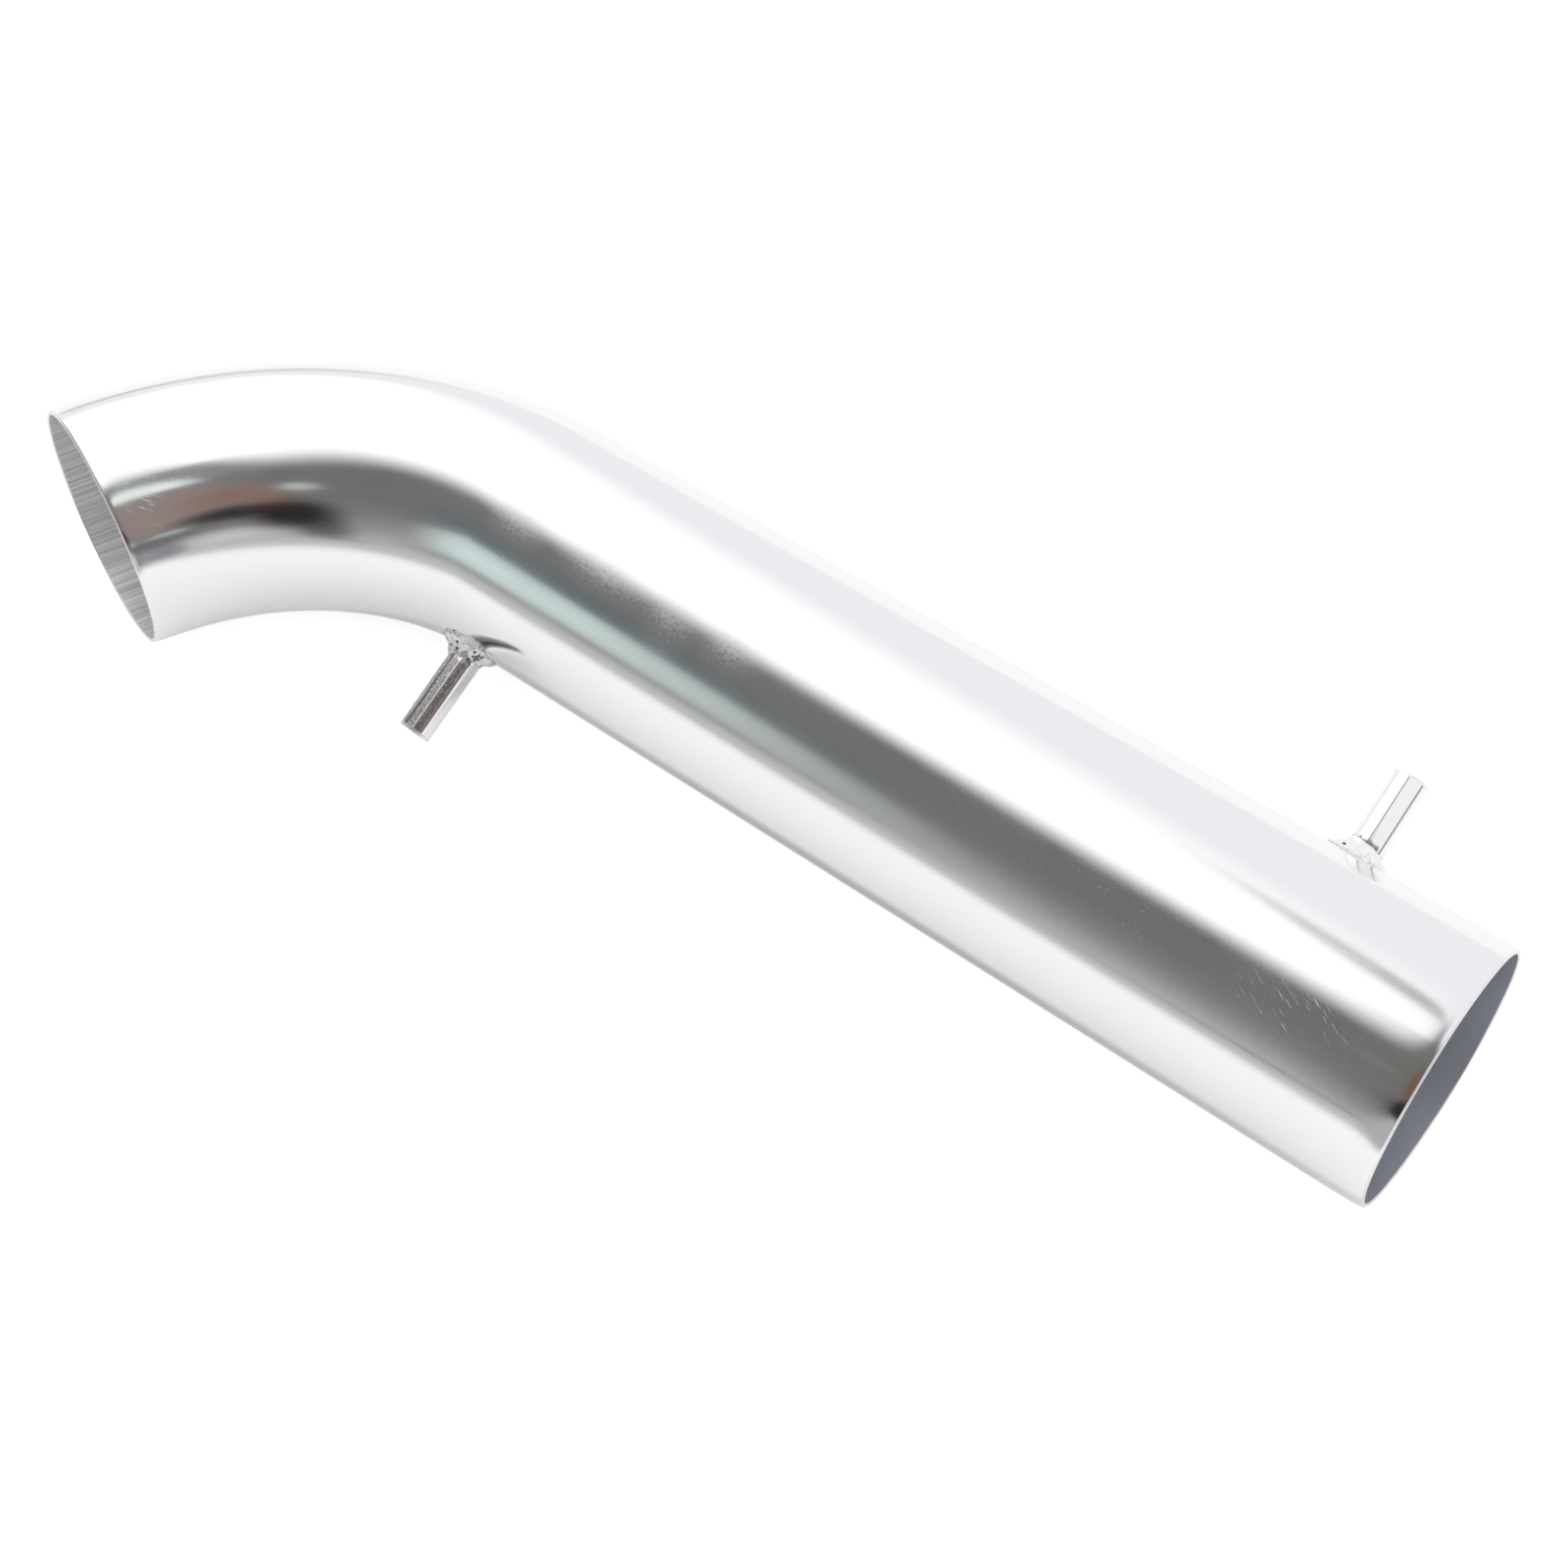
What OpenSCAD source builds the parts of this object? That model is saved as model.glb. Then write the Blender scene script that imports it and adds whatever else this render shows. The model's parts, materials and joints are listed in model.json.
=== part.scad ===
// Cold air intake pipe for a car engine bay.
// A round aluminium tube with one swept bend. Both ends are cut square and left open,
// the short one right where the bend ends.
// Two short hose nipples are coped to the tube and welded on, one on each side of it.
// The pipe lies on its side: the bend is level, and +X points out of the long end.
// The origin is the middle of the long end's mouth.

/* [Pipe] */
// Outside diameter of the pipe
pipe_od = 76.2; // [60:0.1:90]
// Wall thickness of the pipe
pipe_wall = 1.65; // [1:0.05:3]
// Radius of the bend, to the pipe's centreline
bend_radius = 117; // [100:0.5:200]
// Angle of the bend
bend_angle = 70.5; // [20:0.5:90]
// Straight run from the bend to the long end
long_leg = 303.5; // [150:0.5:500]

/* [Hose nipples] */
// Outside diameter of both nipples
nipple_od = 10; // [8:0.1:14]
// Wall thickness of both nipples
nipple_wall = 1; // [0.8:0.05:1.5]
// Turn of the nipples about the pipe, out of the plane of the bend
nipple_turn = 25.5; // [0:0.5:60]
// Distance from the long end to the end nipple's axis
end_nipple_inset = 47; // [25:1:100]
// Length of the end nipple past the pipe's outer surface
end_nipple_reach = 26; // [15:0.5:60]
// Distance from the start of the bend to the bend nipple's axis
bend_nipple_inset = 1; // [0:0.5:40]
// Length of the bend nipple past the pipe's outer surface
bend_nipple_reach = 30.5; // [15:0.5:60]
// How far the edge of the hole drilled in the pipe stands inside each nipple's bore
hole_lip = 0.2; // [0:0.05:1]

/* [Welds] */
// Width of each weld on the pipe, outwards from the nipple
weld_width = 4.2; // [2:0.1:6]
// Height of each weld up the nipple
weld_height = 4.6; // [2:0.1:6]
// How much heavier a weld is on one side than its mean, as a share
weld_lean = 0.22; // [0:0.01:0.4]
// How far the weld's face is hollowed: 0 is flat and 1 is a full round cove
weld_hollow = 0.55; // [0:0.05:1]
// Number of ripples in the bend nipple's weld
bend_weld_ripples = 13; // [0:1:24]
// Number of ripples in the end nipple's weld
end_weld_ripples = 11; // [0:1:24]
// Height of the ripples
ripple_height = 0.35; // [0:0.05:0.6]

/* [Hidden] */
pipe_r = pipe_od/2;
bore_r = pipe_r - pipe_wall;
nipple_r = nipple_od/2;
nipple_bore_r = nipple_r - nipple_wall;
hole_r = nipple_bore_r - hole_lip;
// Turn about X that points a nipple away from the bend, or into it
end_side = nipple_turn - 90;
bend_side = nipple_turn + 90;
end_nipple_x = -end_nipple_inset;
bend_nipple_x = bend_nipple_inset - long_leg;
// Distance from the pipe's axis at which a nipple's blank starts, a little below every part of its cope
foot_sink = 2;
foot_z = sqrt(pow(pipe_r, 2) - pow(nipple_r, 2)) - foot_sink;
// Air film between a weld and what it sits on, so that faceted and round faces don't cut into each other
seat = 0.03;
// Height of a weld's rim where it runs out on the pipe
toe = 0.3;
weld_steps = 96;
face_steps = 6;
// How far a cutting tool runs beyond what it cuts, and the same for the bend's bore, as an angle
past = 5;
past_turn = 3;
$fn = 96;

// The whole run of the pipe as a solid bar of one radius, which can reach beyond both mouths
module run(radius, beyond = 0, beyond_turn = 0) {
    translate([beyond, 0, 0])
        rotate([0, -90, 0])
            cylinder(r = radius, h = long_leg + beyond);
    translate([-long_leg, -bend_radius, 0])
        rotate([0, 0, 90])
            rotate_extrude(angle = bend_angle + beyond_turn)
                translate([bend_radius, 0])
                    circle(r = radius);
}

// Places its children on the pipe's axis, with Z along a nipple
module at_nipple(x, side) {
    translate([x, 0, 0])
        rotate([side, 0, 0])
            children();
}

// Tool for the hole through the pipe's wall under a nipple
module drilling(x, side) {
    at_nipple(x, side)
        translate([0, 0, bore_r - past])
            cylinder(r = hole_r, h = pipe_wall + 2*past);
}

module pipe() {
    color([0.80, 0.81, 0.82])
        difference() {
            run(pipe_r);
            run(bore_r, past, past_turn);
            drilling(end_nipple_x, end_side);
            drilling(bend_nipple_x, bend_side);
        }
}

// A plain tube, square at its tip and coped at its foot to saddle the pipe
module nipple(x, side, reach) {
    color([0.78, 0.79, 0.80])
        difference() {
            at_nipple(x, side)
                translate([0, 0, foot_z])
                    cylinder(r = nipple_r, h = pipe_r + reach - foot_z);
            at_nipple(x, side)
                translate([0, 0, foot_z - past])
                    cylinder(r = nipple_bore_r, h = pipe_r + reach - foot_z + 2*past);
            run(pipe_r);
        }
}

// A point given on a nipple's own axes, in the pipe's frame
function placed(p, x, side) = [
    x + p.x,
    p.y*cos(side) - p.z*sin(side),
    p.y*sin(side) + p.z*cos(side)
];

// Distance of a point from the pipe's outer surface, in the long leg or in the bend
function clear_of_pipe(p) =
    p.x > -long_leg
        ? norm([p.y, p.z]) - pipe_r
        : norm([norm([p.x + long_leg, p.y + bend_radius]) - bend_radius, p.z]) - pipe_r;

// Height along a nipple's axis at which the line through (a, b) meets the pipe, found by stepping onto it
function surface_z(a, b, x, side, z = pipe_r, tries = 7) =
    tries == 0
        ? z
        : surface_z(a, b, x, side, z - clear_of_pipe(placed([a, b, z], x, side)), tries - 1);

// One section of the weld, from its top on the nipple, down its face to the toe and back along the pipe.
// Each entry is [distance from the nipple's axis, height above the pipe].
function weld_section(inner, width, height, bump) = concat(
    [for (k = [0:face_steps])
        let (t = k/face_steps)
        let (flat = [t, 1 - t], cove = [1 - cos(90*t), 1 - sin(90*t)])
        let (face = flat*(1 - weld_hollow) + cove*weld_hollow)
        [inner + width*face.x + bump*sin(180*t), toe + (height - toe)*face.y + bump*sin(180*t)]],
    [for (t = [1, 0.5, 0]) [inner + width*t, seat]]
);

// A ring of sections around the nipple, each heavier or lighter with its place in the ring
module weld(x, side, ripples, heavy) {
    inner = (nipple_r + seat)/cos(180/weld_steps);
    rows = [for (i = [0:weld_steps - 1])
        let (a = 360*i/weld_steps)
        let (share = 1 + weld_lean*cos(a - heavy))
        let (wave = ripple_height*cos(ripples*a))
        [for (s = weld_section(inner, weld_width*share + wave/2, weld_height*share, wave/2))
            let (p = [s.x*cos(a), s.x*sin(a)])
            placed([p.x, p.y, surface_z(p.x, p.y, x, side) + s.y], x, side)]];
    sides = len(rows[0]);
    faces = [for (i = [0:weld_steps - 1], j = [0:sides - 1])
        let (i2 = (i + 1) % weld_steps, j2 = (j + 1) % sides)
        each [
            [i*sides + j, i2*sides + j, i2*sides + j2],
            [i*sides + j, i2*sides + j2, i*sides + j2]
        ]];
    color([0.70, 0.70, 0.68])
        polyhedron(points = [for (row = rows) each row], faces = faces);
}

module end_nipple() {
    nipple(end_nipple_x, end_side, end_nipple_reach);
}

module bend_nipple() {
    nipple(bend_nipple_x, bend_side, bend_nipple_reach);
}

module end_weld() {
    weld(end_nipple_x, end_side, end_weld_ripples, 180);
}

module bend_weld() {
    weld(bend_nipple_x, bend_side, bend_weld_ripples, 180);
}

pipe();
end_nipple();
bend_nipple();
end_weld();
bend_weld();
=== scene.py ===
# %% [markdown]
# # A polished aluminium intake pipe
# The pipe is one drawn tube with a single bend, and two small hose nipples are welded to it. The packed
# model gives every size and place, so this script starts by loading it as a fixed frame. The solids there
# are right in form, but their meshes have a few dozen sides round the tube, and a mirror finish would
# show each one. So the script spins finer skins in the same places, and gives each its own finish.

# %% Load the frame
import json
import math

import bmesh
import bpy
from mathutils import Matrix, Vector, noise


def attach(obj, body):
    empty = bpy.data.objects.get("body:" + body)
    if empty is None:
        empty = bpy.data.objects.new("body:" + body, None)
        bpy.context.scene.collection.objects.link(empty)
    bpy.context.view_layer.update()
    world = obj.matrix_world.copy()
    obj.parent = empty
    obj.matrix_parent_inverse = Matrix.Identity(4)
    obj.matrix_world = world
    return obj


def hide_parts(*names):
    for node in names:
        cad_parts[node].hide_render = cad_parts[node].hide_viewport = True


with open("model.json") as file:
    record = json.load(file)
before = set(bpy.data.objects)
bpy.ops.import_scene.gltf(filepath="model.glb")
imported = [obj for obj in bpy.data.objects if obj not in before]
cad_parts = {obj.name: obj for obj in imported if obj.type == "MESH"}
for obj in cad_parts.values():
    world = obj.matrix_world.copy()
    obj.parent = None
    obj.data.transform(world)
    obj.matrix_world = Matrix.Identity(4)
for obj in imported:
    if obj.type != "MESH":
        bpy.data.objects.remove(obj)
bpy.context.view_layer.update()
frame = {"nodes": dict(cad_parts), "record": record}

MM = 0.001

# %% [markdown]
# ## Sizes from the frame
# Nothing is measured twice. The record names the pipe's mouths and the nipples' tips with their places,
# directions and radii. From the two mouths the bend's angle and radius follow by trigonometry, so the
# skins made below keep to the solids even if the model is changed and packed again.

# %% Read the pipe's sizes
mounts = {m["name"]: m for m in frame["record"]["mounts"]}


def place(name):
    return Vector(mounts[name]["pos_m"])


def heading(name):
    return Vector(mounts[name]["axis"]).normalized()


def size(name, key):
    return mounts[name]["dims"][key] * MM


PIPE_R = size("long_end_hose_seat", "r_mm")
BORE_R = size("long_end", "r_mm")
LEG = size("long_end", "length_mm")
short_mouth = place("short_end_hose_seat")
short_out = heading("short_end_hose_seat")
BEND_ANGLE = math.atan2(-short_out.y, -short_out.x)
BEND_R = -short_mouth.y / (1 - math.cos(BEND_ANGLE))
BEND_CENTRE = Vector((-LEG, -BEND_R, 0))
RUN = LEG + BEND_R * BEND_ANGLE
print(f"bend {math.degrees(BEND_ANGLE):.1f} degrees at {BEND_R / MM:.1f} mm, run {RUN / MM:.1f} mm")

# %% [markdown]
# ## A few small helpers
# Colours are easiest to read as the hex values of a picture editor, but the renderer works in linear
# light, so one function turns them, and a second gives them to the stops of a ramp. A third adds a
# shader node with its settings and links in one line, which keeps each material short enough to read as
# a recipe. The last one starts a material with an empty node tree.

# %% Colour and node helpers
def colour(hex_code):
    parts = [int(hex_code[i:i + 2], 16) / 255 for i in (1, 3, 5)]
    linear = [p / 12.92 if p <= 0.04045 else ((p + 0.055) / 1.055) ** 2.4 for p in parts]
    return (*linear, 1.0)


def fill_ramp(ramp, stops):
    """Stops are (position, hex colour)."""
    while len(ramp) < len(stops):
        ramp.new(0.5)
    for stop, (position, hex_code) in zip(ramp, stops):
        stop.position, stop.color = position, colour(hex_code)


def add(tree, kind, inputs=None, **settings):
    """Adds a node. Inputs are by name or number, and each is a socket to link or a value. Settings are
    the node's properties, the stops of a ramp or, with an underscore for a space, its inputs."""
    node = tree.nodes.new(kind)
    for name, value in settings.items():
        if name == "stops":
            fill_ramp(node.color_ramp.elements, value)
        elif hasattr(node, name):
            setattr(node, name, value)
        else:
            node.inputs[name.replace("_", " ")].default_value = value
    for target, source in (inputs or {}).items():
        if isinstance(source, bpy.types.NodeSocket):
            tree.links.new(source, node.inputs[target])
        else:
            node.inputs[target].default_value = source
    return node


def new_material(name):
    material = bpy.data.materials.new(name)
    material.use_nodes = True
    material.node_tree.nodes.clear()
    return material, material.node_tree


# %% [markdown]
# ## Finish 1: the polished outside of the tube
# The tube is drawn aluminium, brought to a near mirror on a buffing wheel. Polished aluminium is a
# metal with a bright, slightly cool reflection, so nearly all that one sees on it is the room. The wheel
# leaves its own traces: a soft blur that comes and goes, hair-fine lines along the tube, and here and
# there a cloudy spot where compound was left. They are drawn as changes of roughness, because a mark
# on a mirror shows by the light that it scatters and not by a colour.

# %% Where the marks lie
# Distance from the long mouth in mm, angle round the pipe from the inside of the bend upwards in
# degrees, and half sizes along and round in mm.
SMUDGES = [(291, 58, 13, 9), (257, 57, 22, 8), (234, 55, 14, 10), (213, 57, 13, 9)]
SCRATCHED = [(33, 49, 22, 9), (434, 46, 9, 11)]
DUSTY = [(287, 44, 12, 6), (436, 40, 8, 14), (420, 55, 16, 6), (80, 50, 90, 9)]


def sheet_place(tree):
    """Place on the pipe's surface rolled out flat: X along it and Y round it, in metres."""
    where = add(tree, "ShaderNodeAttribute", attribute_name="unbent")
    axes = add(tree, "ShaderNodeSeparateXYZ", {"Vector": where.outputs["Vector"]})
    ahead = add(tree, "ShaderNodeMath", {0: axes.outputs["X"], 1: -1.0}, operation="MULTIPLY")
    inward = add(tree, "ShaderNodeMath", {0: axes.outputs["Y"], 1: -1.0}, operation="MULTIPLY")
    angle = add(tree, "ShaderNodeMath", {0: axes.outputs["Z"], 1: inward.outputs[0]}, operation="ARCTAN2")
    arc = add(tree, "ShaderNodeMath", {0: angle.outputs[0], 1: PIPE_R}, operation="MULTIPLY")
    return add(tree, "ShaderNodeCombineXYZ", {"X": ahead.outputs[0], "Y": arc.outputs[0]}).outputs[0]


def ovals(tree, place, shapes):
    """Soft ovals, 1 in the middle and 0 outside. Each has its middle and its half sizes."""
    total = 0.0
    for middle, half_sizes in shapes:
        grow = Vector([1 / half for half in half_sizes])
        oval = add(tree, "ShaderNodeMapping", {"Vector": place}, Location=-middle * grow, Scale=grow)
        fade = add(tree, "ShaderNodeTexGradient", {"Vector": oval.outputs[0]}, gradient_type="SPHERICAL")
        most = add(tree, "ShaderNodeMath", {0: fade.outputs["Fac"], 1: total}, operation="MAXIMUM")
        total = most.outputs[0]
    return total


def spots(tree, sheet, places):
    """The same on the rolled-out surface, for places as they are listed above."""
    return ovals(tree, sheet, [(Vector((along * MM, math.radians(angle) * PIPE_R, 0)),
                                (half_long * MM, half_round * MM, 1))
                               for along, angle, half_long, half_round in places])


def speckled(tree, sheet, scale, start, end, height, stretch=(1, 1, 1), turn=0.0):
    """Noise on the rolled-out surface, cut so that only its peaks are left, up to this height."""
    laid = add(tree, "ShaderNodeMapping", {"Vector": sheet}, Rotation=(0, 0, turn))
    drawn = add(tree, "ShaderNodeMapping", {"Vector": laid.outputs[0]}, Scale=stretch)
    grain = add(tree, "ShaderNodeTexNoise", {"Vector": drawn.outputs[0]}, Scale=scale, Detail=2.0)
    return add(tree, "ShaderNodeMapRange", {"Value": grain.outputs["Fac"]},
               From_Min=start, From_Max=end, To_Max=height).outputs[0]


# %% Material: buffed aluminium
POLISHED = "#F5F5F6"
# Scales are per metre, so 1000 over one of them is the size of a mark in mm. The grain and the dust are
# finer on the real pipe, and are drawn as coarse as they need to be to show.
CLOUDS, HAZE, DUST, GRAIN = 45.0, 900.0, 1500.0, 2600.0
HAIR_LINES = (14, 1500, 1)
SCRATCHES, SCRATCH_TURN = (130, 2200, 1), -0.5


def buffed_aluminium():
    material, tree = new_material("buffed_aluminium")
    sheet = sheet_place(tree)
    cloud = add(tree, "ShaderNodeTexNoise", {"Vector": sheet}, Scale=CLOUDS, Detail=3.0)
    blur = add(tree, "ShaderNodeMapRange", {"Value": cloud.outputs["Fac"]},
               From_Min=0.35, From_Max=0.65, To_Min=0.10, To_Max=0.14)
    hair = speckled(tree, sheet, 1.0, 0.55, 0.8, 0.06, HAIR_LINES)
    grain = speckled(tree, sheet, GRAIN, 0.5, 0.75, 0.08)
    haze = speckled(tree, sheet, HAZE, 0.15, 0.95, 0.34)
    scratches = speckled(tree, sheet, 1.0, 0.62, 0.70, 0.9, SCRATCHES, SCRATCH_TURN)
    dust = speckled(tree, sheet, DUST, 0.68, 0.76, 0.9)
    rough = blur.outputs[0]
    for share, mark in ((1.0, hair), (1.0, grain), (spots(tree, sheet, SMUDGES), haze),
                        (spots(tree, sheet, SCRATCHED), scratches), (spots(tree, sheet, DUSTY), dust)):
        sum_up = add(tree, "ShaderNodeMath", {0: share, 1: mark, 2: rough}, operation="MULTIPLY_ADD")
        rough = sum_up.outputs[0]
    shader = add(tree, "ShaderNodeBsdfPrincipled", {"Roughness": rough},
                 Base_Color=colour(POLISHED), Metallic=1.0)
    add(tree, "ShaderNodeOutputMaterial", {"Surface": shader.outputs["BSDF"]})
    return material


# %% [markdown]
# ## Finish 2: the bore
# Nobody polishes the inside. It keeps the dull slate grey of drawn tube. Near the short end the mandrel
# of the bending machine has rubbed along it and left fine streaks. Towards the short mouth the tone is
# painted paler, up to white, as painted light that falls in at the mouth.

# %% Material: drawn bore
# Over this reach from the short mouth the bore fades to pale streaks: painted light that falls in at the
# mouth.
DRAG_AND_LIGHT_REACH = 60 * MM
# The streaks are about 70 mm long and 0.7 mm wide. Scales are per metre.
DRAG_STREAKS = (14, 1500, 1500)


def drawn_bore():
    material, tree = new_material("drawn_aluminium_bore")
    where = add(tree, "ShaderNodeAttribute", attribute_name="unbent")
    axes = add(tree, "ShaderNodeSeparateXYZ", {"Vector": where.outputs["Vector"]})
    near_short_end = add(tree, "ShaderNodeMapRange", {"Value": axes.outputs["X"]},
                         From_Min=DRAG_AND_LIGHT_REACH - RUN, From_Max=0.2 * DRAG_AND_LIGHT_REACH - RUN)
    stretch = add(tree, "ShaderNodeMapping", {"Vector": where.outputs["Vector"]}, Scale=DRAG_STREAKS)
    streak = add(tree, "ShaderNodeTexNoise", {"Vector": stretch.outputs["Vector"]}, Scale=1.0,
                 Detail=5.0, Roughness=0.7)
    mark = add(tree, "ShaderNodeMapRange", {"Value": streak.outputs["Fac"]}, From_Min=0.36, From_Max=0.62)
    slate = add(tree, "ShaderNodeValToRGB", {"Fac": mark.outputs[0]},
                stops=[(0, "#B0B3BD"), (1, "#B3B6C0")])
    # Pale streaks that turn to white: painted light near the short mouth, on top of the real drag streaks.
    dragged_and_lit = add(tree, "ShaderNodeValToRGB", {"Fac": mark.outputs[0]},
                  stops=[(0, "#C2C2C0"), (1, "#FFFFFF")])
    tone = add(tree, "ShaderNodeMix",
               {"Factor": near_short_end.outputs[0], "A": slate.outputs["Color"],
                "B": dragged_and_lit.outputs["Color"]}, data_type="RGBA")
    shader = add(tree, "ShaderNodeBsdfPrincipled",
                 {"Base Color": tone.outputs["Result"]}, Roughness=0.38, Metallic=0.5)
    add(tree, "ShaderNodeOutputMaterial", {"Surface": shader.outputs["BSDF"]})
    return material


# %% [markdown]
# ## Finish 3: the cut edges
# The ends are sawn and then only touched on the wheel, so the edge is the brightest and roughest metal
# of the pipe: a hair-thin bright line round each mouth.

# %% Material: cut edge
def cut_edge():
    material, tree = new_material("sawn_aluminium_edge")
    where = add(tree, "ShaderNodeTexCoord")
    grain = add(tree, "ShaderNodeTexNoise", {"Vector": where.outputs["Object"]}, Scale=900.0, Detail=2.0)
    rough = add(tree, "ShaderNodeMapRange", {"Value": grain.outputs["Fac"]},
                From_Min=0.3, From_Max=0.7, To_Min=0.3, To_Max=0.5)
    shader = add(tree, "ShaderNodeBsdfPrincipled", {"Roughness": rough.outputs["Result"]},
                 Base_Color=colour("#F4F4F4"), Metallic=1.0)
    add(tree, "ShaderNodeOutputMaterial", {"Surface": shader.outputs["BSDF"]})
    return material


# %% [markdown]
# ## Finish 4: the nipples
# The nipples are cut from small drawn tube and get a quick pass on the wheel. They are a little less
# clear than the pipe, with fine draw lines along them. The end nipple has two dark lines from a nick in
# the die. The bend nipple is rougher along one side, and there its darker tone is a painted dark
# reflection, with lighter specks and one light line in it.

# %% Material: drawn nipple
# Distances in mm. Lines and edges lie across the tube, and the marked side fades in round its middle.
DARK_LINE, CLEAR_LINE = (0.28, 0.06), (0.1, 0.4)
# Edges across the tube of the bend nipple's painted dark side, which is also rougher there.
DARK_SIDE_RIGHT, DARK_SIDE_LEFT = (4.1, 3.3), (-4.7, -1.7)
SIDE_FADE = (-0.5, 0.8)
# Scales are per metre: draw lines about 0.7 mm wide and 33 mm long, and specks of 0.4 mm.
DRAW_LINES, SPECKS = (1500, 1500, 30), 2600.0


def line_along(tree, axes, across, start, end):
    """Fades from start to end, as distances from a line that lies this far across the tube."""
    off = add(tree, "ShaderNodeMath", {0: axes.outputs["X"], 1: across * MM}, operation="SUBTRACT")
    near = add(tree, "ShaderNodeMath", {0: off.outputs[0]}, operation="ABSOLUTE")
    return add(tree, "ShaderNodeMapRange", {"Value": near.outputs[0]},
               From_Min=start * MM, From_Max=end * MM).outputs[0]


def drawn_nipple(name, marked_side, painted_dark_side, die_lines, clear_lines):
    """All marks are on the marked side, 1 or -1 along the tube's own Y. Lines are given in mm across.
    When the third argument is set, part of that side is rougher and painted darker, as a painted dark
    reflection.
    """
    material, tree = new_material(name)
    where = add(tree, "ShaderNodeAttribute", attribute_name="upright")
    axes = add(tree, "ShaderNodeSeparateXYZ", {"Vector": where.outputs["Vector"]})
    stretch = add(tree, "ShaderNodeMapping", {"Vector": where.outputs["Vector"]}, Scale=DRAW_LINES)
    lines = add(tree, "ShaderNodeTexNoise", {"Vector": stretch.outputs["Vector"]}, Scale=1.0, Detail=3.0)
    grain = add(tree, "ShaderNodeTexNoise", {"Vector": where.outputs["Vector"]}, Scale=SPECKS, Detail=2.0)
    patchy = add(tree, "ShaderNodeMapRange", {"Value": grain.outputs["Fac"]},
                 From_Min=0.48, From_Max=0.62, To_Min=1.0, To_Max=0.1).outputs[0]
    right, left, near_side = [
        add(tree, "ShaderNodeMapRange", {"Value": axes.outputs[axis]},
            From_Min=start * MM, From_Max=end * MM).outputs[0]
        for axis, (start, end) in (("X", DARK_SIDE_RIGHT), ("X", DARK_SIDE_LEFT),
                                   ("Y", [edge * marked_side for edge in SIDE_FADE]))]
    clear = [line_along(tree, axes, across, *CLEAR_LINE) for across in clear_lines]
    dark = [line_along(tree, axes, across, *DARK_LINE) for across in die_lines]
    # This share darkens the tone: die lines, and on the bend nipple a painted dark reflection along one
    # side, with lighter specks and a light line in it.
    dull = float(painted_dark_side)
    for operation, parts in (("MULTIPLY", [right, left, patchy, *clear]), ("ADD", dark),
                             ("MULTIPLY", [near_side])):
        for part in parts:
            dull = add(tree, "ShaderNodeMath", {0: dull, 1: part}, operation=operation).outputs[0]
    tone = add(tree, "ShaderNodeValToRGB", {"Fac": dull}, stops=[(0, "#FAF9F9"), (1, "#948F90")])
    rough = add(tree, "ShaderNodeMapRange", {"Value": lines.outputs["Fac"]},
                From_Min=0.3, From_Max=0.7, To_Min=0.10, To_Max=0.22)
    worn = add(tree, "ShaderNodeMath", {0: dull, 1: 0.10, 2: rough.outputs[0]}, operation="MULTIPLY_ADD")
    bump = add(tree, "ShaderNodeBump", {"Height": lines.outputs["Fac"]}, Strength=0.15, Distance=0.0001)
    shader = add(tree, "ShaderNodeBsdfPrincipled",
                 {"Roughness": worn.outputs[0], "Normal": bump.outputs[0],
                  "Base Color": tone.outputs["Color"]}, Metallic=1.0)
    add(tree, "ShaderNodeOutputMaterial", {"Surface": shader.outputs["BSDF"]})
    return material


# %% [markdown]
# ## Finish 5: the weld beads
# A weld bead cools into soft lumps, whiter and duller than the drawn metal, with a few pores where
# gas came out, and larger pits where the torch was lifted. The lumps are real form and come later. The
# pores and pits are not cut into the form: their dark colour is painted shade of the holes. The fine
# frost is bump and roughness.

# %% Material: weld bead
PIT_SIZE = (0.62 * MM, 0.62 * MM, 0.62 * MM)
# Painted shade: pores and pits are not cut into the form, so their holes are drawn in this dark colour.
PORE_SHADE = "#4A4644"
# Scales are per metre: frost of about 0.7 mm, and a pore for every 2.4 mm.
FROSTING, PORES = 1400.0, 420.0


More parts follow.
